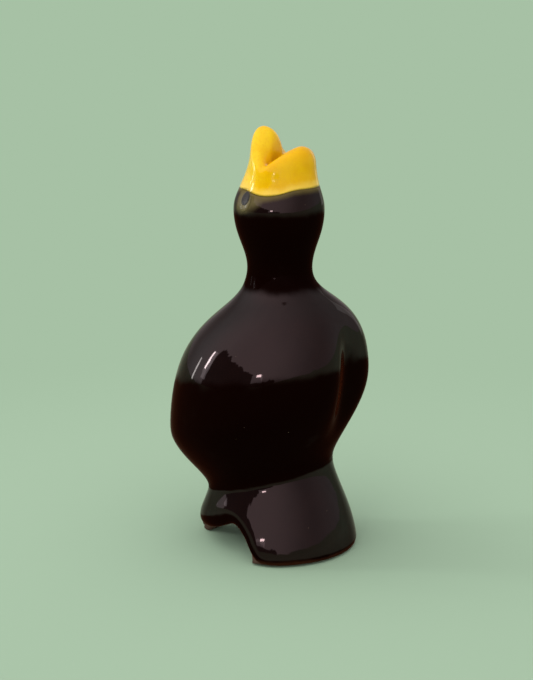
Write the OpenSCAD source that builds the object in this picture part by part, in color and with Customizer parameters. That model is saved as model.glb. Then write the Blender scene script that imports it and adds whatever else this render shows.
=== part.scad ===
// Pie bird: a hollow slip-cast bird that stands in a pie and lets the steam out through its beak.
// Millimetres. +Z is up, the breast faces -Y and z = 0 is the table under the foot. The origin is
// the middle of the bird's plan, on the table.
// The bird is drawn as one finished, glazed skin. The clay lies one coat of glaze inside it, so
// every coat fits the clay that it was fired on.

/* [Skirt and foot] */
// Radius of the skirt at its widest, just above the table
foot_radius = 22.4; // [20:0.1:25]
// Lean of the foot's centre towards the back
foot_lean = -0.5; // [-1.5:0.1:0.5]
// Reach of the rounded lip along the foot and round the arches
lip_round = 3; // [2.4:0.1:3.4]
// Thickness of the clay at that lip
lip_thickness = 5; // [4:0.1:6]
// Depth sanded off the lip to make the flat foot
foot_sanding = 0.9; // [0.5:0.1:1.2]
// Height of the bare clay band that is wiped clean of glaze
bare_band = 0.6; // [0.4:0.1:1.2]
// Height of the steam arches above the table at their crown, towards the back
arch_height = 11; // [8:0.1:12]
// Height of the arches over their front part
arch_front_height = 5.4; // [4:0.1:8]
// Direction of each arch, in degrees round from the breast
arch_direction = 56; // [54:1:62]
// Half the width of each arch at the table, in degrees round the foot
arch_half_angle = 43; // [36:1:46]

/* [Waist] */
// Radius of the waist between the belly and the skirt
waist_radius = 16.8; // [14:0.1:19]
// Height of the waist at the breast
waist_front_height = 15; // [14:0.1:18]
// Height of the waist at the back
waist_back_height = 24; // [20:0.1:27]
// Lean of the waist's centre towards the back
waist_lean = -2.1; // [-4:0.1:1]

/* [Belly and wings] */
// Radius of the belly
belly_radius = 27.2; // [24:0.1:30]
// Height of the belly's widest line at the breast
belly_front_height = 31; // [28:0.1:36]
// Height of the belly's widest line at the back
belly_back_height = 50; // [44:0.1:54]
// Lean of the belly's centre towards the back
belly_lean = -2.5; // [-4:0.1:1]
// Depth of the groove that parts the folded wings
wing_groove_depth = 4.6; // [1:0.1:6]
// Half the width of that groove, in degrees
wing_groove_half_angle = 23; // [18:1:32]
// Height of the groove's lower end
wing_groove_bottom = 31; // [28:0.5:36]
// Height of the groove's upper end
wing_groove_top = 66; // [60:0.5:70]

/* [Neck and head] */
// Radius of the neck
neck_radius = 8.5; // [7.5:0.1:10]
// Height of the neck's narrowest line
neck_height = 75.5; // [72:0.1:79]
// Lean of the neck's centre towards the back
neck_lean = 0.8; // [-1:0.1:2]
// Radius of the head
head_radius = 12.2; // [11:0.1:13.5]
// Height of the head's widest line above the neck's narrowest
head_rise = 16.5; // [15.5:0.1:17.5]
// Lean of the head's centre towards the back
head_lean = 0.5; // [-1:0.1:2]

/* [Beak] */
// Height of the beak's corners above the head's widest line
gape_rise = 11.6; // [10.8:0.1:12.4]
// Half the width of the beak between those corners
gape_half_width = 7.2; // [6.5:0.1:8.5]
// Thickness of the beak's rounded rim at those corners
gape_thickness = 4.6; // [4:0.1:5.2]
// Height of the tip of the front half above the corners
front_tip_rise = 9.8; // [7:0.1:12]
// Distance of the front tip ahead of the beak's axis
front_tip_reach = 4.5; // [3.5:0.1:6]
// Twice the thickness of the front tip outside its crest
front_tip_thickness = 5.2; // [4.6:0.1:6.2]
// Height of the tip of the back half above the corners
back_tip_rise = 5; // [3.6:0.1:7]
// Distance of the back tip behind the beak's axis
back_tip_reach = 6.6; // [5:0.1:8]
// Twice the thickness of the back tip outside its crest
back_tip_thickness = 6.8; // [5.6:0.1:7.4]
// Share by which the front tip is thicker inside its crest than outside it
front_tip_swell = 0.58; // [0.4:0.02:0.6]
// Share by which the back tip is thinner inside its crest than outside it
back_tip_hollow = 0.48; // [0.46:0.01:0.54]
// Depth of the edge of the yellow glaze below the corners at the front
front_line_depth = 6.3; // [5.8:0.1:7.4]
// Depth of that edge below the corners at the back
back_line_depth = 5.6; // [5.2:0.1:7]
// Depth to which the edge dips below each corner
line_dip = 1.4; // [0:0.1:1.6]
// Radius of the steam hole in the throat
throat_radius = 3.5; // [3:0.1:3.8]
// Lean of the throat's centre towards the back
throat_lean = 2.3; // [1.8:0.1:2.8]
// Depth of the narrowest line of the throat below the corners
throat_depth = 5; // [4.4:0.1:5.6]
// Length of the straight throat below that line
throat_length = 2.6; // [1.5:0.1:3.5]

/* [Walls and glaze] */
// Thickness of the clay wall
clay_wall = 3.6; // [2.8:0.1:4]
// Thickness of the coloured glaze outside
glaze_coat = 0.4; // [0.25:0.05:0.6]
// Thickness of the glaze that lines the inside
lining_coat = 0.3; // [0.2:0.05:0.5]

/* [Eyes] */
// Direction of each eye, in degrees round from the breast
eye_direction = 68; // [60:1:80]
// Height of the middle of each yellow ring above the head's widest line
eye_ring_rise = 2.6; // [2:0.1:2.8]
// Half the width of the yellow ring
eye_ring_half_width = 2.4; // [2:0.1:2.6]
// Half the height of the yellow ring
eye_ring_half_height = 2.7; // [2.2:0.1:2.9]
// Height of the middle of each dark dot above the middle of its ring
eye_dot_rise = 0.7; // [0:0.1:0.8]
// Half the width of the dark dot
eye_dot_half_width = 1.7; // [1:0.1:1.8]
// Half the height of the dark dot
eye_dot_half_height = 1.8; // [1:0.1:1.9]
// Thickness of the ring, and of the dot that is painted on it
eye_paint = 0.2; // [0.1:0.05:0.3]

/* [Hidden] */

// Columns run up the bird. Half of them go round from the breast to the back: along the front foot,
// over one arch and along the back foot.
front_columns = 1;
arch_columns = 12;
back_columns = 9;
half_columns = front_columns + arch_columns + back_columns;
columns = 2 * half_columns;
// Rows in each stretch of the skin, from the lip of the foot to the throat
lip_rows = 3;
bare_rows = 5;
skirt_rows = 4;
belly_rows = 6;
shoulder_rows = 7;
head_rows = 5;
brow_rows = 2;
beak_rows = 4;
rim_rows = 4;
mouth_rows = 3;

// Levels up the bird: whole numbers are the rings, and 5 is the rim of the beak
waist_level = 1;
belly_level = 2;
neck_level = 3;
head_level = 4;
rim_level = 5;
// Heights that are stacked one on the other
head_height = neck_height + head_rise;
gape_height = head_height + gape_rise;
throat_height = gape_height - throat_depth;
eye_ring_height = head_height + eye_ring_rise;
eye_dot_height = eye_ring_height + eye_dot_rise;
// Each ring: radius, centre, height at the breast, height at the back
foot_edge_height = lip_round - foot_sanding;
rings = [[foot_radius, foot_lean, foot_edge_height, foot_edge_height],
         [waist_radius, waist_lean, waist_front_height, waist_back_height],
         [belly_radius, belly_lean, belly_front_height, belly_back_height],
         [neck_radius, neck_lean, neck_height, neck_height],
         [head_radius, head_lean, head_height, head_height]];
// How fully each stretch bulges above its lower ring and below its upper one
fullness = [[0.3, 0.17], [0.2, 0.42], [0.79, 0.3], [0.38, 0.47], [0.25, 0.55]];

// How far the glaze wraps round the lip: hardly at the foot, nearly to the inside in an arch
bare_angle = asin((foot_edge_height - bare_band) / (lip_round + glaze_coat));
wrap_angle = 150;
wrap_rise = 0.35;
// Roundness of the arches and of the two sides of the beak's V, 1 is plain
arch_roundness = 0.75;
front_roundness = 1.35;
back_roundness = 0.9;
tip_pinch = 0.28;
// Where along an arch it starts to climb to its crown and where it gets there, of 180 degrees
crown_start = 78;
crown_end = 118;
// Half the width and the direction of the dips in the yellow glaze's edge, in degrees
dip_half_angle = 48;
dip_direction = 100;
// How steeply the mouth leaves the rim and enters the throat
mouth_fullness = 0.45;
// Gap under the eyes' paint, and the share of a painted spot that is level on top
paint_gap = 0.03;
paint_level_share = 0.75;
eye_sides = 10;
// Step for slopes that are measured on the skin
small_angle = 0.5;
small_level = 0.01;

up = [0, 0, 1];

function mix(a, b, share) = a + (b - a) * share;
function ease(share) = share * share * (3 - 2 * share);
function unit(v) = v / norm(v);
function outward(angle) = [sin(angle), -cos(angle), 0];
function bezier(a, b, c, d, t) =
    a * pow(1 - t, 3) + b * 3 * t * pow(1 - t, 2) + c * 3 * t * t * (1 - t) + d * pow(t, 3);
// Angle from the back of the bird, 0 to 180
function from_back(angle) = abs(180 - (angle % 360 + 360) % 360);

function ring_point(ring, angle) =
    outward(angle) * ring[0] + [0, ring[1], mix(ring[3], ring[2], (1 + cos(angle)) / 2)];

// Groove between the wings, deepest down the middle of the back
function groove(angle, height) =
    let (across = from_back(angle) / wing_groove_half_angle,
         along = (height - wing_groove_bottom) / (wing_groove_top - wing_groove_bottom))
    across >= 1 || along <= 0 || along >= 1
        ? 0
        : wing_groove_depth * pow(cos(90 * across), 2) * sin(180 * along);

// Crest of the beak's rim: low at the two corners, high at the two tips
function rim_crest(angle) =
    let (c = cos(angle),
         reach = c > 0 ? front_tip_reach : back_tip_reach,
         rise = c > 0 ? front_tip_rise * pow(c, front_roundness) : back_tip_rise * pow(-c, back_roundness))
    [gape_half_width * sin(angle) * (1 - tip_pinch * c * c), head_lean - reach * c, gape_height + rise];
function rim_run(angle) = rim_crest(angle + small_angle) - rim_crest(angle - small_angle);
function rim_out(angle) = unit(cross(rim_run(angle), up));
// Inside, the halves of the beak are flat faces that look at each other
function rim_in(angle) = unit([pow(sin(angle), 3), -cos(angle), 0]);
// Point on the rim, which turns from the outside at 0 degrees to the mouth at 180
function rim_point(angle, turn) =
    let (c = cos(angle),
         tip_thickness = c > 0 ? front_tip_thickness : back_tip_thickness,
         half = mix(gape_thickness, tip_thickness, abs(c)) / 2,
         inner = half * (1 + (c > 0 ? front_tip_swell : -back_tip_hollow) * pow(c, 4)))
    rim_crest(angle)
    + (turn < 90 ? rim_out(angle) * half : rim_in(angle) * inner) * cos(turn)
    + up * (turn < 90 ? half : inner) * (sin(turn) - 1);
function throat_point(angle, height) =
    outward(angle) * throat_radius + [0, throat_lean, height];
function mouth_point(angle, share) =
    let (edge = rim_point(angle, 180),
         hole = throat_point(angle, throat_height),
         fall = up * (edge[2] - throat_height) * mouth_fullness)
    bezier(edge, edge - fall, hole + fall, hole, share);

// Point of the finished skin at an angle round from the breast and a level up the bird
function skin(angle, level) =
    let (i = min(floor(level), head_level),
         low = ring_point(rings[i], angle),
         top = i < head_level ? ring_point(rings[i + 1], angle) : rim_point(angle, 0),
         climb = up * (top[2] - low[2]),
         p = bezier(low, low + climb * fullness[i][0], top - climb * fullness[i][1], top, level - i))
    p - outward(angle) * groove(angle, p[2]);
function skin_normal(angle, level) =
    unit(cross(skin(angle + small_angle, level) - skin(angle - small_angle, level),
               skin(angle, level + small_level) - skin(angle, max(level - small_level, 0))));
// Level at which the skin reaches a height
function level_at(angle, height, low, top, steps = 24) =
    let (middle = (low + top) / 2)
    steps == 0 ? middle
    : skin(angle, middle)[2] < height ? level_at(angle, height, middle, top, steps - 1)
    : level_at(angle, height, low, middle, steps - 1);

// Lower edge of the skin, where the rounded lip begins: along the front foot, up over the arch and
// along the back foot, mirrored on the far side
lip_angle = (lip_round + glaze_coat) / foot_radius * 180 / PI;
arch_edge_angle = arch_half_angle + lip_angle;
function arch_turn(k) =
    k > half_columns ? arch_turn(columns - k)
    : min(max(180 * (k - front_columns) / arch_columns, 0), 180);
function rounded(value) = sign(value) * pow(abs(value), arch_roundness);
function edge_angle(k) =
    k > half_columns ? 360 - edge_angle(columns - k)
    : k <= front_columns ? mix(0, arch_direction - arch_edge_angle, k / front_columns)
    : k <= front_columns + arch_columns ? arch_direction - arch_edge_angle * rounded(cos(arch_turn(k)))
    : mix(arch_direction + arch_edge_angle, 180, (k - front_columns - arch_columns) / back_columns);
function crown(turn) =
    mix(arch_front_height, arch_height,
        ease(min(max((turn - crown_start) / (crown_end - crown_start), 0), 1)));
function edge_height(k) =
    foot_edge_height
    + (crown(arch_turn(k)) + lip_round + glaze_coat - foot_edge_height) * rounded(sin(arch_turn(k)));
edge_levels = [for (k = [0 : columns - 1]) level_at(edge_angle(k), edge_height(k), 0, waist_level)];
edge = [for (k = [0 : columns - 1]) skin(edge_angle(k), edge_levels[k])];
edge_out = [for (k = [0 : columns - 1]) skin_normal(edge_angle(k), edge_levels[k])];
edge_down = [for (k = [0 : columns - 1])
    unit(cross(edge[(k + 1) % columns] - edge[(k + columns - 1) % columns], edge_out[k]))];
wrap = [for (k = [0 : columns - 1]) mix(bare_angle, wrap_angle, pow(sin(arch_turn(k)), wrap_rise))];

// Point on the lip, which turns from the outside at 0 degrees to the inside at 180
function lip_point(k, turn, coat) =
    edge[k] - edge_out[k] * (glaze_coat + lip_thickness / 2)
    + edge_out[k] * (lip_thickness / 2 + coat) * cos(turn) + edge_down[k] * (lip_round + coat) * sin(turn);

// Rows of the finished skin
function column_angle(k) = 360 * k / columns;
lip_skin = [for (j = [0 : lip_rows])
    [for (k = [0 : columns - 1]) lip_point(k, wrap[k] * (1 - j / lip_rows), glaze_coat)]];
skirt_skin = [for (j = [1 : skirt_rows])
    [for (k = [0 : columns - 1])
        skin(mix(edge_angle(k), column_angle(k), ease(j / skirt_rows)),
             mix(edge_levels[k], waist_level, j / skirt_rows))]];
function level_rows(low, rows) = [for (j = [1 : rows])
    [for (k = [0 : columns - 1]) skin(column_angle(k), low + j / rows)]];
// Edge of the yellow glaze, which ran down a little under the corners of the beak
function line_height(angle) =
    let (off = min(abs(180 - from_back(angle) - dip_direction) / dip_half_angle, 1))
    gape_height - mix(back_line_depth, front_line_depth, (1 + cos(angle)) / 2)
    - line_dip * pow(cos(90 * off), 2);
line_levels = [for (k = [0 : columns - 1])
    level_at(column_angle(k), line_height(column_angle(k)), head_level, rim_level)];
brow_skin = [for (j = [1 : brow_rows])
    [for (k = [0 : columns - 1]) skin(column_angle(k), mix(head_level, line_levels[k], j / brow_rows))]];
beak_skin = [for (j = [1 : beak_rows])
    [for (k = [0 : columns - 1]) skin(column_angle(k), mix(line_levels[k], rim_level, j / beak_rows))]];
rim_skin = [for (j = [1 : rim_rows])
    [for (k = [0 : columns - 1]) rim_point(column_angle(k), 180 * j / rim_rows)]];
mouth_skin = [for (j = [1 : mouth_rows])
    [for (k = [0 : columns - 1]) mouth_point(column_angle(k), j / mouth_rows)]];
skin_rows = concat(lip_skin, skirt_skin, level_rows(waist_level, belly_rows),
                   level_rows(belly_level, shoulder_rows), level_rows(neck_level, head_rows),
                   brow_skin, beak_skin, rim_skin, mouth_skin);

// The rows where one stretch ends and the next begins
edge_row = lip_rows;
waist_row = edge_row + skirt_rows;
belly_row = waist_row + belly_rows;
neck_row = belly_row + shoulder_rows;
head_row = neck_row + head_rows;
line_row = head_row + brow_rows;
last_row = len(skin_rows) - 1;

// Outward direction at every point of the skin, from its neighbours
normals = [for (j = [0 : last_row])
    [for (k = [0 : columns - 1])
        let (above = skin_rows[min(j + 1, last_row)][k],
             below = skin_rows[max(j - 1, 0)][k],
             ahead = skin_rows[j][(k + 1) % columns],
             behind = skin_rows[j][(k + columns - 1) % columns])
        unit(cross(ahead - behind, above - below))]];
// A row of the skin moved inwards
function sunk_row(j, depth) = [for (k = [0 : columns - 1]) skin_rows[j][k] - normals[j][k] * depth];

// Rows of the clay and of the lining inside it, from the brow down to the lip
inside_steps = concat([line_row, head_row, head_row - 2], [for (j = [neck_row : -2 : waist_row + 1]) j],
                      [for (j = [waist_row : -2 : edge_row]) j]);
function throat_row(depth) = [for (k = [0 : columns - 1])
    throat_point(column_angle(k), throat_height - throat_length)
    - outward(column_angle(k)) * depth - up * depth];
// The wall thickens from the waist down to the lip
function wall_at(j) = mix(lip_thickness, clay_wall, min((j - edge_row) / skirt_rows, 1));
function inside_rows(coat) = concat([throat_row(coat)],
                                    [for (j = inside_steps) sunk_row(j, glaze_coat + wall_at(j) + coat)]);
clay_skin_rows = [for (j = [0 : last_row]) sunk_row(j, glaze_coat)];
bare_lip_rows = [for (j = [bare_rows - 1 : -1 : 1])
    [for (k = [0 : columns - 1])
        let (p = lip_point(k, mix(wrap[k], 180, j / bare_rows), 0))
        [p[0], p[1], max(p[2], 0)]]];
clay_inside_rows = inside_rows(0);
clay_rows = concat(clay_skin_rows, clay_inside_rows, bare_lip_rows);
lining_rows = inside_rows(lining_coat);

// The bird stands with the middle of its plan on the origin
depths = [for (row = skin_rows) for (p = row) p[1]];
plan_middle = (min(depths) + max(depths)) / 2;

function part_of(rows, first, last) = [for (j = [first : last]) rows[j]];
function reversed(rows) = [for (j = [len(rows) - 1 : -1 : 0]) rows[j]];
function flat(rows) = [for (row = rows) for (p = row) p];

// Closed solid through a loop of rows. After the turning row the squares are split the other way,
// so that a coat and the clay under it share the same triangles.
module loop_solid(rows, turning_row) {
    count = len(rows);
    faces = [for (j = [0 : count - 1]) for (k = [0 : columns - 1])
        let (a = j * columns + k,
             b = j * columns + (k + 1) % columns,
             c = (j + 1) % count * columns + (k + 1) % columns,
             d = (j + 1) % count * columns + k)
        each j < turning_row ? [[a, c, b], [a, d, c]] : [[a, d, b], [b, d, c]]];
    translate([0, -plan_middle, 0])
        polyhedron(flat(rows), faces);
}

// A coat between the clay and the finished skin
module coat(first, last) {
    outside = part_of(skin_rows, first, last);
    loop_solid(concat(outside, reversed(part_of(clay_skin_rows, first, last))), len(outside));
}

// Point on the flat triangles that the coats are made of, which stand a little off the true skin
function facet(across, along) =
    let (k = floor(across), j = floor(along), i = across - k, t = along - j,
         a = skin_rows[j][k % columns], b = skin_rows[j][(k + 1) % columns],
         c = skin_rows[j + 1][(k + 1) % columns], d = skin_rows[j + 1][k % columns])
    i > t ? a + (b - a) * i + (c - b) * t : a + (d - a) * t + (c - d) * i;
// Row of the skin, with a fraction, at a level of the head
function head_row_at(angle, level) =
    let (line = level_at(angle, line_height(angle), head_level, rim_level))
    level < head_level ? neck_row + (level - neck_level) * head_rows
    : level < line ? head_row + (level - head_level) / (line - head_level) * brow_rows
    : line_row + (level - line) / (rim_level - line) * beak_rows;
// Point beside an eye, a little proud of the glaze
function eye_point(side, height, across, along, proud) =
    let (angle = side * (eye_direction + across / head_radius * 180 / PI),
         level = level_at(angle, height + along, neck_level, rim_level),
         p = skin(angle, level),
         out = skin_normal(angle, level),
         glaze = facet((angle + 360) % 360 * columns / 360, head_row_at(angle, level)))
    p + out * (max((glaze - p) * out, 0) + proud);

// Spot of paint that follows the skin of the head, with a soft edge
module eye_spot(side, height, half_width, half_height, seat) {
    // Share of the half size and height of each ring of the spot, from its underside to its top
    loops = [[paint_level_share, 0], [1, 0], [1, eye_paint / 2], [paint_level_share, eye_paint]];
    count = len(loops);
    points = concat(
        [for (ring = loops) for (i = [0 : eye_sides - 1])
            let (turn = 360 * i / eye_sides)
            eye_point(side, height, half_width * ring[0] * cos(turn), half_height * ring[0] * sin(turn),
                      seat + ring[1])],
        [eye_point(side, height, 0, 0, seat), eye_point(side, height, 0, 0, seat + eye_paint)]);
    under = count * eye_sides;
    faces = [for (i = [0 : eye_sides - 1])
        let (next = (i + 1) % eye_sides,
             top = (count - 1) * eye_sides)
        each concat(
            [[under, i, next], [under + 1, top + next, top + i]],
            [for (j = [0 : count - 2])
                let (a = j * eye_sides + i, b = j * eye_sides + next)
                each [[a, a + eye_sides, b], [b, a + eye_sides, b + eye_sides]]])];
    translate([0, -plan_middle, 0])
        polyhedron(points, faces);
}

// Fired clay: the hollow bird itself
module clay_body() {
    color([0.74, 0.58, 0.48])
        loop_solid(clay_rows, len(clay_rows));
}

// Near-black brown glaze from the bare band up to the beak
module black_glaze() {
    color([0.08, 0.05, 0.05]) coat(0, line_row);
}

// Yellow glaze over the beak and into the mouth
module beak_glaze() {
    color([0.95, 0.76, 0.12]) coat(line_row, last_row);
}

// Glaze that was poured through to line the inside
module inner_glaze() {
    color([0.1, 0.06, 0.05])
        loop_solid(concat(lining_rows, reversed(clay_inside_rows)), len(lining_rows));
}

// Yellow ring of an eye, on the black glaze
module eye_ring(side) {
    color([0.72, 0.6, 0.2])
        eye_spot(side, eye_ring_height, eye_ring_half_width, eye_ring_half_height, paint_gap);
}

// Dark dot of an eye, on its ring
module eye_dot(side) {
    color([0.05, 0.04, 0.04])
        eye_spot(side, eye_dot_height, eye_dot_half_width, eye_dot_half_height, eye_paint + 2 * paint_gap);
}

module left_eye_ring() { eye_ring(1); }
module right_eye_ring() { eye_ring(-1); }
module left_eye_dot() { eye_dot(1); }
module right_eye_dot() { eye_dot(-1); }

clay_body();
black_glaze();
beak_glaze();
inner_glaze();
left_eye_ring();
right_eye_ring();
left_eye_dot();
right_eye_dot();
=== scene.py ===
# %% [markdown]
# # A pie bird, glazed and lit
# A pie bird stands in the middle of a pie, holds up the crust and lets the steam out through its beak.
# This one is a single slip-cast pot: a mould is filled with liquid clay, the clay is left to form a skin,
# the rest is poured out, and the skin is fired and glazed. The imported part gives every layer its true
# place. This script gives the layers their looks: a thick near-black glaze, a yellow beak, two painted
# eyes, and a line of bare clay where the foot was wiped.

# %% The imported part
import math

import bmesh
import bpy
import numpy as np
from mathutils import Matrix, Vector, noise
from mathutils.bvhtree import BVHTree


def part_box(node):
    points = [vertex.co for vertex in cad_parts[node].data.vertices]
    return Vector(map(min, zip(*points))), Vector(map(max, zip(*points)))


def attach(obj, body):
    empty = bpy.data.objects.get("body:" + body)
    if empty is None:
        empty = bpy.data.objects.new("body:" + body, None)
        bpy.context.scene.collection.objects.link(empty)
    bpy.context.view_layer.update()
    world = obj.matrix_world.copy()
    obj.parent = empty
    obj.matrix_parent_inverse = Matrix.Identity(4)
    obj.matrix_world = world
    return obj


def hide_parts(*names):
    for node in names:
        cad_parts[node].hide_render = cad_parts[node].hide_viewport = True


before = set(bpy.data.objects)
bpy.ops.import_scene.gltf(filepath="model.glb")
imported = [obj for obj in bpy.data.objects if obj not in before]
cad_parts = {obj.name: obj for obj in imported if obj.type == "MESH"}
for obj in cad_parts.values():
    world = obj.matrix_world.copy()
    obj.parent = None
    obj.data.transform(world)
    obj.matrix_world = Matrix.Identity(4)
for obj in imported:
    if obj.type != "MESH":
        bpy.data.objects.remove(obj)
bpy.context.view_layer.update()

COLUMNS = 44
MM = 0.001
WELD_GAP = 0.002 * MM
print("loaded", sorted(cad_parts))


# %% [markdown]
# ## Finding the rings again
# The bird was drawn as rings of 44 points, one above the other, and every square between two rings was cut
# into two triangles. A subdivision surface is only as smooth as its squares, and a glossy glaze shows the
# smallest ripple, so the squares are put together again first. At each point six edges meet. Going
# straight on means leaving by the edge opposite the one you came in by, and a walk that comes home after
# exactly 44 steps has gone once round the pot: it is a ring.

# %% Rings from triangles
def welded(node):
    """A node's points and triangles, with corners that share a place made one."""
    b = bmesh.new()
    b.from_mesh(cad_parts[node].data)
    bmesh.ops.remove_doubles(b, verts=b.verts, dist=WELD_GAP)
    b.verts.index_update()
    points = np.array([v.co[:] for v in b.verts])
    triangles = [[v.index for v in f.verts] for f in b.faces]
    b.free()
    return points, triangles


def neighbours_in_order(triangles):
    """For each point, its neighbours in the order in which they lie round it."""
    after = {}
    for a, b, c in triangles:
        for p, q, r in ((a, b, c), (b, c, a), (c, a, b)):
            after.setdefault(p, {})[q] = r
    order = {}
    for p, step in after.items():
        ring = [min(step)]
        while len(ring) < len(step):
            ring.append(step[ring[-1]])
        order[p] = ring
    return order


def ring_from(order, start, first):
    """The points passed by walking straight on from start, if the walk comes home after one turn."""
    walk = [start, first]
    while len(walk) <= COLUMNS:
        round_it = order[walk[-1]]
        walk.append(round_it[(round_it.index(walk[-2]) + len(round_it) // 2) % len(round_it)])
    return walk[:-1] if walk[-1] == start and len(set(walk[:-1])) == COLUMNS else None


def grid_of(node):
    """A node's points, and their numbers as a table with a row for each ring and a column for each point."""
    points, triangles = welded(node)
    order = neighbours_in_order(triangles)
    rings, ring_of = [], {}
    for p in sorted(order):
        if p in ring_of:
            continue
        found = [r for r in (ring_from(order, p, q) for q in order[p][:3]) if r and not set(r) & set(ring_of)]
        ring = min(found, key=lambda r: np.ptp(points[r][:, 2]))
        rings.append(ring)
        ring_of.update({q: len(rings) - 1 for q in ring})
    rows, came_from = [rings[0]], None
    while len(rows) < len(rings):
        here = rows[-1]
        beside = sorted({ring_of[q] for q in order[here[0]]} - {ring_of[here[0]], came_from})
        there = rings[beside[0]]
        pair = [there.index(q) for q in order[here[0]] if ring_of[q] == beside[0]]
        came_from = ring_of[here[0]]
        best = None
        for turn in (1, -1):
            for first in pair:
                line = [there[(first + turn * i) % COLUMNS] for i in range(COLUMNS)]
                if all(q in order[p] for p, q in zip(here, line)):
                    length = np.linalg.norm(points[here] - points[line], axis=1).sum()
                    if best is None or length < best[0]:
                        best = (length, line)
        rows.append(best[1])
    return points, np.array(rows)


# %% [markdown]
# ## From rings to a smooth coat
# With the rings in hand a coat is a sheet of squares closed on itself: up the outside, over the end, down
# the inside and back. Subdivided twice it is as smooth as poured glaze. Its ends stay sharp where the angle
# between two squares is steep, so that two coats that meet on the pot still meet here. A slow, very shallow
# swell is pressed into it afterwards: glaze runs a little in the kiln, and it is this that makes the
# reflections on a real pot waver.

# %% Smooth coats
SHARP_ANGLE = math.radians(65)
SUBDIVISIONS = 2


def square_mesh(name, points, rows):
    """A mesh of the squares between the rings, with sharp ends kept sharp."""
    faces = []
    for r in range(len(rows)):
        a, b = rows[r], rows[(r + 1) % len(rows)]
        faces += [(a[i], a[(i + 1) % COLUMNS], b[(i + 1) % COLUMNS], b[i]) for i in range(COLUMNS)]
    mesh = bpy.data.meshes.new(name)
    mesh.from_pydata([tuple(p) for p in points], [], [tuple(int(i) for i in f) for f in faces])
    b = bmesh.new()
    b.from_mesh(mesh)
    bmesh.ops.recalc_face_normals(b, faces=b.faces)
    crease = b.edges.layers.float.new("crease_edge")
    for e in b.edges:
        if e.calc_face_angle(0) > SHARP_ANGLE:
            e[crease] = 1
    b.to_mesh(mesh)
    b.free()
    return mesh


def smoothed(name, mesh):
    """A plain mesh object: the given mesh, subdivided."""
    rough = bpy.data.objects.new(name + "_rough", mesh)
    bpy.context.collection.objects.link(rough)
    sub = rough.modifiers.new("subdivide", "SUBSURF")
    sub.levels = sub.render_levels = SUBDIVISIONS
    fine = bpy.data.meshes.new_from_object(rough.evaluated_get(bpy.context.evaluated_depsgraph_get()))
    bpy.data.objects.remove(rough)
    fine.name = name
    fine.shade_smooth()
    piece = bpy.data.objects.new(name, fine)
    bpy.context.collection.objects.link(piece)
    return piece


def swell(piece, height, length):
    """Presses a slow swell into a piece: inwards only, so that it stays within the part's box."""
    mesh = piece.data
    spots = np.array([v.co[:] for v in mesh.vertices])
    normals = np.array([n.vector[:] for n in mesh.vertex_normals])
    depth = np.array([noise.noise(Vector(s / length)) for s in spots])
    spots -= normals * (height * (0.5 + 0.5 * depth))[:, None]
    mesh.vertices.foreach_set("co", spots.ravel())
    mesh.update()


def note(piece, name, values):
    """Writes a number for every point of a piece, for its material to read."""
    layer = piece.data.attributes.new(name, "FLOAT", "POINT")
    layer.data.foreach_set("value", np.asarray(values, dtype=np.float32))


def places(piece):
    """Where the points of a piece are."""
    return np.array([v.co[:] for v in piece.data.vertices])


def gap_to(spots, marks):
    """How far each spot is from the nearest of the marks."""
    best = np.full(len(spots), 9.0)
    for m in marks:
        best = np.minimum(best, np.linalg.norm(spots - m, axis=1))
    return best


def between(marks, steps=6):
    """A closed ring of marks with more marks put in between."""
    ahead = np.roll(marks, -1, axis=0)
    return np.concatenate([marks + (ahead - marks) * k / steps for k in range(steps)])


coats, tables = {}, {}
for node, name in (
        ("clay_body", "bare_clay"), ("black_glaze", "black_coat"),
        ("beak_glaze", "yellow_coat"), ("inner_glaze", "lining")):
    points, rows = grid_of(node)
    tables[node] = points[rows]
    coats[name] = smoothed(name, square_mesh(name, points, rows))
    print(name, len(coats[name].data.vertices), "points")


# %% [markdown]
# ## Where the glaze is thin, and where shade is painted
# Glaze draws back from edges. Over a sharp lip it is thin and the red-brown of the iron shows; in a hollow it
# is thick and black. Near the beak the yellow and the black melt into each other and turn olive. The script
# measures both for every point: how far it is from the wiped edge of the foot, and how far from the line
# where the two glazes meet. One more number is a choice of looks, not a property of the pot: outdoors the
# neck and the lower belly mirror dark ground, but the floor here is pale, so there, and on faces that look
# down, the gloss is turned down and the colour darkened: a painted dark reflection and painted shade.

# %% Distances that the glazes need
black_rows = tables["black_glaze"]
foot_edge = between(black_rows[np.argmin(black_rows[:, :, 2].mean(axis=1))])
beak_rows = tables["beak_glaze"]
shared = [row for row in beak_rows if gap_to(row[:1], black_rows.reshape(-1, 3))[0] < 1e-5]
WAIST, WAIST_TILT = 19.5, 4.5
BELLY_LINE, BELLY_TILT = 51.5, 3
NECK_FOOT, NECK_TOP = 69.5, 92.6
SWELL_DEPTH, SWELL_LENGTH = 0.08 * MM, 9 * MM


def mean_radius(row):
    """How wide a ring is, seen from above."""
    flat = row[:, :2]
    return np.linalg.norm(flat - flat.mean(axis=0), axis=1).mean()


meeting_line = between(max(shared, key=mean_radius))


def underside(piece):
    """1 where shade and a dark reflection are painted: down faces, the lower belly and the neck. Else 0."""
    spots = places(piece) / MM
    up = spots[:, 2]
    looks_up = np.array([n.vector[2] for n in piece.data.vertex_normals])
    to_back = spots[:, 1] / np.hypot(spots[:, 0], spots[:, 1])
    above_waist = np.clip((up - WAIST - WAIST_TILT * to_back) / 1.5, 0, 1)
    low_belly = np.clip((BELLY_LINE + BELLY_TILT * to_back - up) / 3.5, 0, 1) * above_waist
    low_skirt = np.clip((0.16 - looks_up) / 0.12, 0, 1) * (1 - above_waist)
    neck = np.clip((NECK_TOP - up) / 2.4, 0, 1) * np.clip((up - NECK_FOOT) / 3, 0, 1)
    return np.maximum(np.clip((0.1 - looks_up) / 0.2, 0, 1), np.max([low_belly, low_skirt, neck], axis=0))


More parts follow.
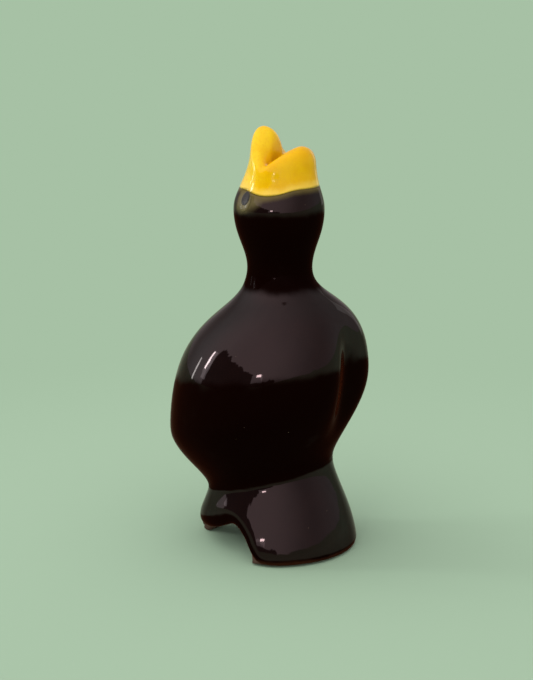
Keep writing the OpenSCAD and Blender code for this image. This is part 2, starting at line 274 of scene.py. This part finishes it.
eye_middles = [np.mean(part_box(node), axis=0) for node in ("left_eye_dot", "right_eye_dot")]
swell(coats["black_coat"], SWELL_DEPTH, SWELL_LENGTH)
for name in ("black_coat", "yellow_coat"):
    spots = places(coats[name])
    note(coats[name], "from_line", gap_to(spots, meeting_line) / MM)
    note(coats[name], "from_edge", gap_to(spots, foot_edge) / MM)
    note(coats[name], "from_eye", gap_to(spots, eye_middles) / MM)
    # Painted shade and painted dark reflection: where the black glaze is darkened and its gloss turned down
    note(coats[name], "underside", underside(coats[name]))
    note(coats[name], "behind", spots[:, 1] / MM)
line_heights = meeting_line[:, 2] / MM
print("meeting line at", line_heights.min().round(1), "to", line_heights.max().round(1), "mm")


# %% [markdown]
# ## The eyes
# Each eye is two touches of a brush: an oval of thin yellow, which sinks into the black around it and goes
# olive, and a dark dot on top. They melted into the glaze in the kiln, so they have soft rims.

# %% Painted eyes
def laid_down(piece, under):
    """Lets a painted spot follow the smooth coats under it and stand only a little proud of them."""
    for v in piece.data.vertices:
        seat, out, _, _ = min((tree.find_nearest(v.co) for tree in under), key=lambda found: found[3])
        v.co = seat + out * (0.02 * MM + 0.3 * max(0.0, (v.co - seat).dot(out)))
    piece.data.update()


def painted(node, name):
    points, triangles = welded(node)
    mesh = bpy.data.meshes.new(name)
    mesh.from_pydata([tuple(p) for p in points], [], triangles)
    piece = smoothed(name, mesh)
    laid_down(piece, glazed)
    spots = places(piece)
    middle = (spots.min(axis=0) + spots.max(axis=0)) / 2
    out = middle * [1, 1, 0]
    side = np.cross(out / np.linalg.norm(out), [0, 0, 1])
    across, up = (spots - middle) @ side, (spots - middle)[:, 2]
    note(piece, "from_middle", np.hypot(across / abs(across).max(), up / abs(up).max()))
    return piece


graph = bpy.context.evaluated_depsgraph_get()
glazed = [BVHTree.FromObject(coats[name], graph) for name in ("black_coat", "yellow_coat")]
eyes = {}
for hand in ("left", "right"):
    eyes[hand + "_eye_ring"] = painted(hand + "_eye_ring", hand + "_eye_halo")
    eyes[hand + "_eye_dot"] = painted(hand + "_eye_dot", hand + "_eye_pupil")
print("eyes", sorted(eyes))


# %% [markdown]
# ## Glazes and clay
# All the materials are built from noise in the object's own coordinates and from the distances measured
# above. The black glaze has almost no colour of its own; what is seen on it is the room, with painted
# shade and a painted dark reflection low down and a painted red reflection at its edges. The yellow is a
# thick opaque glaze with ochre flecks, painted lighter at the front and deeper at the back as painted light
# and shade. The bare clay is a dull brown with dark specks.

# %% Material tools
def new_material(name):
    mat = bpy.data.materials.new(name)
    mat.use_nodes = True
    tree = mat.node_tree
    return mat, tree, tree.nodes["Principled BSDF"]


def node_in(tree, kind, **settings):
    made = tree.nodes.new(kind)
    for key, value in settings.items():
        setattr(made, key, value)
    return made


def object_noise(tree, scale, detail=2.0, rough=0.5):
    where = node_in(tree, "ShaderNodeTexCoord")
    tex = node_in(tree, "ShaderNodeTexNoise")
    tex.inputs["Scale"].default_value = scale
    tex.inputs["Detail"].default_value = detail
    tex.inputs["Roughness"].default_value = rough
    tree.links.new(where.outputs["Object"], tex.inputs["Vector"])
    return tex.outputs["Fac"]


def stretch(tree, value, low, high, to_low=0.0, to_high=1.0, how="SMOOTHSTEP"):
    m = node_in(tree, "ShaderNodeMapRange", interpolation_type=how)
    tree.links.new(value, m.inputs["Value"])
    for key, number in (("From Min", low), ("From Max", high), ("To Min", to_low), ("To Max", to_high)):
        m.inputs[key].default_value = number
    return m.outputs["Result"]


def maths(tree, how, a, b):
    m = node_in(tree, "ShaderNodeMath", operation=how)
    for socket, value in zip(m.inputs, (a, b)):
        if isinstance(value, (int, float)):
            socket.default_value = value
        else:
            tree.links.new(value, socket)
    return m.outputs["Value"]


def blend_colours(tree, how_much, a, b):
    m = node_in(tree, "ShaderNodeMix", data_type="RGBA")
    tree.links.new(how_much, m.inputs["Factor"])
    for socket, value in ((m.inputs["A"], a), (m.inputs["B"], b)):
        if isinstance(value, tuple):
            socket.default_value = (*value, 1)
        else:
            tree.links.new(value, socket)
    return m.outputs["Result"]


def noted(tree, name):
    """The number that was written for each point under that name."""
    return node_in(tree, "ShaderNodeAttribute", attribute_name=name).outputs["Fac"]


def gloss(shader, roughness, level):
    shader.inputs["Roughness"].default_value = roughness
    shader.inputs["Specular IOR Level"].default_value = level


def rippled(tree, shader, scale, strength):
    """The faint orange peel of a fired glaze, which breaks up the edges of its reflections."""
    bump = node_in(tree, "ShaderNodeBump")
    bump.inputs["Strength"].default_value = strength
    bump.inputs["Distance"].default_value = 0.5 * MM
    tree.links.new(object_noise(tree, scale, 1), bump.inputs["Height"])
    tree.links.new(bump.outputs["Normal"], shader.inputs["Normal"])


# %% Black glaze
def wavering(tree, patchy, much):
    """A patchy value turned into one that goes as far below zero as above it."""
    return maths(tree, "MULTIPLY", maths(tree, "SUBTRACT", patchy, 0.5), much)


def spread(tree, name, patchy, ragged, low, high):
    """1 within low of what the note measures from, 0 beyond high, with a ragged edge."""
    away = maths(tree, "ADD", noted(tree, name), wavering(tree, patchy, ragged))
    return stretch(tree, away, low, high, 1, 0)


black, tree, shader = new_material("black_brown_glaze")
patchy = object_noise(tree, 160, 3)
patches = stretch(tree, patchy, 0.35, 0.7)
core = blend_colours(tree, patches, (0.0045, 0.0011, 0.0008), (0.0030, 0.0006, 0.0004))
uneven = wavering(tree, object_noise(tree, 170, 2), 0.8)
painted_shade_mask = stretch(tree, maths(tree, "ADD", noted(tree, "underside"), uneven), 0, 1)
# Painted shade and painted dark reflection: darker and redder on down faces, the lower belly and the neck
core = blend_colours(tree, painted_shade_mask, core, (0.0036, 0.0006, 0.0003))
core = blend_colours(tree, spread(tree, "from_edge", patchy, 2, 0.1, 1.4), core, (0.035, 0.011, 0.005))
core = blend_colours(tree, spread(tree, "from_eye", patchy, 5, 2.6, 5.4), core, (0.12, 0.092, 0.04))
core = blend_colours(tree, spread(tree, "from_line", patchy, 1.6, 0.1, 2.0), core, (0.11, 0.08, 0.018))
tree.links.new(core, shader.inputs["Base Color"])
# Where the link below is not followed, as in the export, this constant level holds
gloss(shader, 0.045, 0.3)
# Under the painted shade the gloss is all but taken away, a painted dark reflection; it also falls off at
# glancing angles
glancing = node_in(tree, "ShaderNodeLayerWeight").outputs["Facing"]
level = stretch(tree, glancing, 0.2, 0.65, 0.28, 0.02)
level = maths(tree, "MULTIPLY", level, stretch(tree, painted_shade_mask, 0, 1, 1, 0.02))
tree.links.new(level, shader.inputs["Specular IOR Level"])
# Painted reflection: the pink tint on the reflections and the red sheen at the edges stand in for a warm
# brown room
shader.inputs["Specular Tint"].default_value = (1.0, 0.7, 0.71, 1)
shader.inputs["Sheen Weight"].default_value = 0.09
shader.inputs["Sheen Roughness"].default_value = 0.3
shader.inputs["Sheen Tint"].default_value = (1.0, 0.2, 0.07, 1)
rippled(tree, shader, 230, 0.12)

# %% Yellow glaze
yellow, tree, shader = new_material("yellow_glaze")
patchy = object_noise(tree, 210, 3)
# Painted light and painted shade: a lit yellow for the front of the beak and a shaded one for the back
painted_shade_yellow = blend_colours(tree, stretch(tree, patchy, 0.35, 0.7), (0.90, 0.49, 0.001), (0.85, 0.43, 0.001))
light = blend_colours(tree, stretch(tree, patchy, 0.35, 0.7), (0.97, 0.62, 0.016), (0.95, 0.54, 0.008))
core = blend_colours(tree, stretch(tree, noted(tree, "behind"), 1, 6), light, painted_shade_yellow)
core = blend_colours(tree, stretch(tree, object_noise(tree, 1300, 4), 0.45, 0.9), core, (0.86, 0.42, 0.004))
core = blend_colours(tree, spread(tree, "from_line", patchy, 3.0, 0.5, 2.6), core, (0.95, 0.59, 0.07))
core = blend_colours(tree, spread(tree, "from_line", patchy, 1.0, -0.1, 0.6), core, (0.42, 0.27, 0.02))
tree.links.new(core, shader.inputs["Base Color"])
gloss(shader, 0.06, 0.16)
rippled(tree, shader, 260, 0.15)

# %% Lining, eyes and clay
lining, tree, shader = new_material("lining_glaze")
patchy = object_noise(tree, 120, 3)
core = blend_colours(tree, patchy, (0.02, 0.009, 0.004), (0.008, 0.004, 0.002))
tree.links.new(core, shader.inputs["Base Color"])
gloss(shader, 0.12, 0.3)

halo, tree, shader = new_material("eye_yellow")
patchy = object_noise(tree, 500, 2)
out = maths(tree, "ADD", noted(tree, "from_middle"), maths(tree, "MULTIPLY", patchy, 0.25))
core = blend_colours(tree, stretch(tree, out, 0.5, 1.1), (0.16, 0.125, 0.06), (0.12, 0.092, 0.04))
tree.links.new(core, shader.inputs["Base Color"])
gloss(shader, 0.2, 0.1)

pupil, tree, shader = new_material("eye_dark")
patchy = object_noise(tree, 600, 2)
out = maths(tree, "ADD", noted(tree, "from_middle"), maths(tree, "MULTIPLY", patchy, 0.3))
core = blend_colours(tree, stretch(tree, out, 1.12, 1.35), (0.022, 0.017, 0.016), (0.12, 0.092, 0.04))
tree.links.new(core, shader.inputs["Base Color"])
gloss(shader, 0.3, 0.12)

clay, tree, shader = new_material("fired_clay")
grain = object_noise(tree, 900, 4, 0.6)
specks = stretch(tree, object_noise(tree, 2600, 2), 0.62, 0.72)
core = blend_colours(tree, grain, (0.085, 0.042, 0.027), (0.055, 0.026, 0.016))
core = blend_colours(tree, specks, core, (0.05, 0.025, 0.015))
tree.links.new(core, shader.inputs["Base Color"])
gloss(shader, 0.75, 0.3)

for name, mat in (("bare_clay", clay), ("black_coat", black), ("yellow_coat", yellow), ("lining", lining)):
    coats[name].data.materials.append(mat)
for node, piece in eyes.items():
    piece.data.materials.append(halo if node.endswith("ring") else pupil)
print("materials", [m.name for m in bpy.data.materials])


# %% [markdown]
# ## Grains from the kiln
# A kiln is dusty. Here and there a grain settles on the wet-looking glaze and is fired in, so that a real
# pot has a scatter of pale pin-points that no hand put there. What is scattered over a surface is a job for
# Geometry Nodes: points on the faces of the coat, each pushed in until only its top shows, and a tiny ball
# on each. The seed is fixed, so the same grains come back every time.

# %% Scatter of grains
def grains_tree():
    group = bpy.data.node_groups.new("kiln_grains", "GeometryNodeTree")
    face = group.interface
    face.new_socket(name="Geometry", in_out="INPUT", socket_type="NodeSocketGeometry")
    for label, kind in (
            ("Grains per m2", "NodeSocketFloat"), ("Smallest", "NodeSocketFloat"),
            ("Largest", "NodeSocketFloat"), ("Seed", "NodeSocketInt"), ("Finish", "NodeSocketMaterial")):
        face.new_socket(name=label, in_out="INPUT", socket_type=kind)
    face.new_socket(name="Geometry", in_out="OUTPUT", socket_type="NodeSocketGeometry")
    given, result = node_in(group, "NodeGroupInput"), node_in(group, "NodeGroupOutput")
    strewn = node_in(group, "GeometryNodeDistributePointsOnFaces")
    size = node_in(group, "FunctionNodeRandomValue", data_type="FLOAT")
    sunk = node_in(group, "ShaderNodeVectorMath", operation="SCALE")
    depth = node_in(group, "ShaderNodeMath", operation="MULTIPLY")
    moved = node_in(group, "GeometryNodeSetPosition")
    ball = node_in(group, "GeometryNodeMeshIcoSphere")
    placed = node_in(group, "GeometryNodeInstanceOnPoints")
    solid = node_in(group, "GeometryNodeRealizeInstances")
    coloured = node_in(group, "GeometryNodeSetMaterial")
    ball.inputs["Radius"].default_value = 1
    ball.inputs["Subdivisions"].default_value = 2
    depth.inputs[1].default_value = -0.75
    link = group.links.new
    link(given.outputs["Geometry"], strewn.inputs["Mesh"])
    link(given.outputs["Grains per m2"], strewn.inputs["Density"])
    link(given.outputs["Seed"], strewn.inputs["Seed"])
    link(given.outputs["Smallest"], size.inputs[2])
    link(given.outputs["Largest"], size.inputs[3])
    link(size.outputs[1], depth.inputs[0])
    link(strewn.outputs["Normal"], sunk.inputs[0])
    link(depth.outputs["Value"], sunk.inputs["Scale"])
    link(strewn.outputs["Points"], moved.inputs["Geometry"])
    link(sunk.outputs["Vector"], moved.inputs["Offset"])
    link(moved.outputs["Geometry"], placed.inputs["Points"])
    link(ball.outputs["Mesh"], placed.inputs["Instance"])
    link(size.outputs[1], placed.inputs["Scale"])
    link(placed.outputs["Instances"], solid.inputs["Geometry"])
    link(solid.outputs["Geometry"], coloured.inputs["Geometry"])
    link(given.outputs["Finish"], coloured.inputs["Material"])
    link(coloured.outputs["Geometry"], result.inputs["Geometry"])
    return group


dust, tree, shader = new_material("kiln_grain")
core = blend_colours(tree, object_noise(tree, 900, 2), (0.24, 0.17, 0.12), (0.10, 0.06, 0.04))
tree.links.new(core, shader.inputs["Base Color"])
gloss(shader, 0.2, 0.4)
bed = bpy.data.objects.new("grain_bed", coats["black_coat"].data.copy())
bpy.context.collection.objects.link(bed)
scatter = bed.modifiers.new("grains", "NODES")
scatter.node_group = grains_tree()
settings = {
    "Grains per m2": 1500.0, "Smallest": 0.05 * MM, "Largest": 0.14 * MM, "Seed": 11, "Finish": dust}
for item in scatter.node_group.interface.items_tree:
    if item.in_out == "INPUT" and item.name in settings:
        scatter[item.identifier] = settings[item.name]
mesh = bpy.data.meshes.new_from_object(bed.evaluated_get(bpy.context.evaluated_depsgraph_get()))
bpy.data.objects.remove(bed)
mesh.name = "kiln_grains"
mesh.shade_smooth()
grains = bpy.data.objects.new("kiln_grains", mesh)
bpy.context.collection.objects.link(grains)
print("grains", len(mesh.vertices) // 42)


# %% [markdown]
# ## Belonging to the part
# Nothing on a pie bird moves, so every layer rides on the one body. Each takes the place of the node it was
# made from, which is hidden.

# %% Rides on the body, hides its node
for name, node, finish in (
        ("bare_clay", "clay_body", "fired_clay"), ("black_coat", "black_glaze", "black_brown_glaze"),
        ("yellow_coat", "beak_glaze", "yellow_glaze"), ("lining", "inner_glaze", "black_brown_glaze")):
    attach(coats[name], "root")
    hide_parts(node)
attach(grains, "root")
for node, piece in eyes.items():
    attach(piece, "root")
    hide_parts(node)


# %% [markdown]
# ## Floor, light and camera
# The floor is a plain pale green that runs back to the horizon. The bird is lit as glossy pots are: by a
# wide soft dome, brighter to the left, because a glaze this dark shows little but its reflections. A dark
# card low in the dome gives the belly a dark shape to mirror, and six small soft boxes give the bright marks
# that tell the eye how smooth it is.

# %% Floor and backdrop
SAGE = (0.386, 0.533, 0.376)
FLOOR_RINGS = [(1, -0.0001), (3.5, -0.0001), (4.5, 0.04), (5.2, 0.13), (5.5, 0.2)]
SHADOW_ENDS = (0.05, 0.22)


def seen_directly(tree):
    """1 for rays from the camera and for mirrored or passed-on rays, else 0."""
    path = node_in(tree, "ShaderNodeLightPath")
    both = maths(tree, "MAXIMUM", path.outputs["Is Camera Ray"], path.outputs["Is Glossy Ray"])
    return maths(tree, "MAXIMUM", both, path.outputs["Is Transmission Ray"])


def sweep(name, rings, sides=96):
    """A floor of rings, each (radius, height), that sweeps up at its far edge."""
    turns = [2 * math.pi * i / sides for i in range(sides)]
    points = [(0, 0, rings[0][1])] + [(r * math.cos(t), r * math.sin(t), z) for r, z in rings for t in turns]
    faces = [(0, 1 + i, 1 + (i + 1) % sides) for i in range(sides)]
    for k in range(len(rings) - 1):
        a, b = 1 + k * sides, 1 + (k + 1) * sides
        faces += [(a + i, b + i, b + (i + 1) % sides, a + (i + 1) % sides) for i in range(sides)]
    mesh = bpy.data.meshes.new(name)
    mesh.from_pydata(points, [], faces)
    mesh.shade_smooth()
    made = bpy.data.objects.new(name, mesh)
    bpy.context.collection.objects.link(made)
    return made


floor = sweep("floor", FLOOR_RINGS)
ground, tree, shader = new_material("pale_floor")
shader.inputs["Base Color"].default_value = (*SAGE, 1)
shader.inputs["Roughness"].default_value = 0.9
shader.inputs["Specular IOR Level"].default_value = 0.1
glow = node_in(tree, "ShaderNodeEmission")
glow.inputs["Color"].default_value = (*SAGE, 1)
mixed = node_in(tree, "ShaderNodeMixShader")
where = node_in(tree, "ShaderNodeTexCoord")
far = node_in(tree, "ShaderNodeVectorMath", operation="LENGTH")
tree.links.new(where.outputs["Object"], far.inputs[0])
plain = maths(tree, "MULTIPLY", stretch(tree, far.outputs["Value"], *SHADOW_ENDS), seen_directly(tree))
tree.links.new(plain, mixed.inputs["Fac"])
tree.links.new(shader.outputs["BSDF"], mixed.inputs[1])
tree.links.new(glow.outputs["Emission"], mixed.inputs[2])
tree.links.new(mixed.outputs["Shader"], tree.nodes["Material Output"].inputs["Surface"])
floor.data.materials.append(ground)


# %% Camera
CAMERA_SIDE = 119
lens = bpy.data.cameras.new("camera")
camera = bpy.data.objects.new("camera", lens)
bpy.context.collection.objects.link(camera)
camera.location = (0.3701, 0.2084, 0.1564)
aim = Vector((0.00129, 0.00094, 0.0562))
camera.rotation_euler = (aim - camera.location).to_track_quat("-Z", "Y").to_euler()
lens.sensor_fit, lens.sensor_width, lens.lens = "HORIZONTAL", 36, 109.97
bpy.context.scene.camera = camera


# %% Light
def towards(side, height):
    """The direction so many degrees to the camera's right and so many above the table."""
    turn, rise = math.radians(CAMERA_SIDE + side), math.radians(height)
    return Vector((math.sin(turn) * math.cos(rise), -math.cos(turn) * math.cos(rise), math.sin(rise)))


def soft_box(name, side, height, distance, wide, tall, brightness, tint):
    """A lamp that faces the bird from that direction."""
    lamp = bpy.data.lights.new(name, "AREA")
    lamp.shape, lamp.size, lamp.size_y = "RECTANGLE", wide, tall
    lamp.energy = 4 * wide * tall * brightness
    lamp.color = tint
    box = bpy.data.objects.new(name, lamp)
    bpy.context.collection.objects.link(box)
    box.location = towards(side, height) * distance + Vector((0, 0, 0.05))
    box.rotation_euler = (-towards(side, height)).to_track_quat("-Z", "Y").to_euler()


def aimed(tree, where, side, height):
    """How nearly a direction points that way: 1 straight at it, 0 square to it."""
    dot = node_in(tree, "ShaderNodeVectorMath", operation="DOT_PRODUCT")
    dot.inputs[1].default_value = towards(side, height)
    tree.links.new(where.outputs["Generated"], dot.inputs[0])
    return dot.outputs["Value"]


world = bpy.data.worlds.new("soft_dome")
bpy.context.scene.world = world
world.use_nodes = True
tree = world.node_tree
where = node_in(tree, "ShaderNodeTexCoord")
dome = tree.nodes["Background"]
dome.inputs["Color"].default_value = (1.0, 0.99, 1.0, 1)
level = stretch(tree, aimed(tree, where, -50, 18), -0.3, 1.0, 0.6, 1.65)
wander = node_in(tree, "ShaderNodeTexNoise")
wander.inputs["Scale"].default_value = 9
tree.links.new(where.outputs["Generated"], wander.inputs["Vector"])
bearing = maths(tree, "ARCTAN2", aimed(tree, where, 90, 0), aimed(tree, where, 0, 0))
height = maths(tree, "ARCSINE", aimed(tree, where, 0, 90), 0.0)
rising = stretch(tree, bearing, math.radians(-98), math.radians(-86), -0.2, 0.62, "LINEAR")
falling = stretch(tree, bearing, math.radians(-84), math.radians(24), 0.58, -0.12, "LINEAR")
ragged_edge = wavering(tree, wander.outputs["Fac"], 0.25)
card = maths(tree, "ADD", maths(tree, "MINIMUM", rising, falling), ragged_edge)
over_card = stretch(tree, maths(tree, "SUBTRACT", height, card), -0.01, 0.01, 0.1, 1)
level = maths(tree, "MULTIPLY", level, over_card)
tree.links.new(level, dome.inputs["Strength"])

soft_box("left_window", -96, 19, 1.2, 0.05, 0.3, 30, (0.98, 1.0, 1.0))
soft_box("left_glow", -94, 16, 1.3, 0.2, 0.5, 1.6, (0.93, 0.96, 1.0))
soft_box("far_window", -112, 8, 1.2, 0.05, 0.3, 10, (0.97, 1.0, 0.97))
soft_box("near_window", -18, 10, 1.2, 0.13, 0.05, 30, (1.0, 1.0, 1.0))
soft_box("near_glow", -20, 8, 1.3, 0.3, 0.14, 1.2, (0.93, 0.96, 1.0))
soft_box("back_strip", 143, 10, 1.2, 0.3, 0.7, 0.6, (1.0, 0.96, 0.93))

# %% [markdown]
# ## The end
# Colours are shown as they are, through the standard view transform. The looks may not grow
# past the imported part.

# %% Colour view
bpy.context.scene.view_settings.view_transform = "Standard"
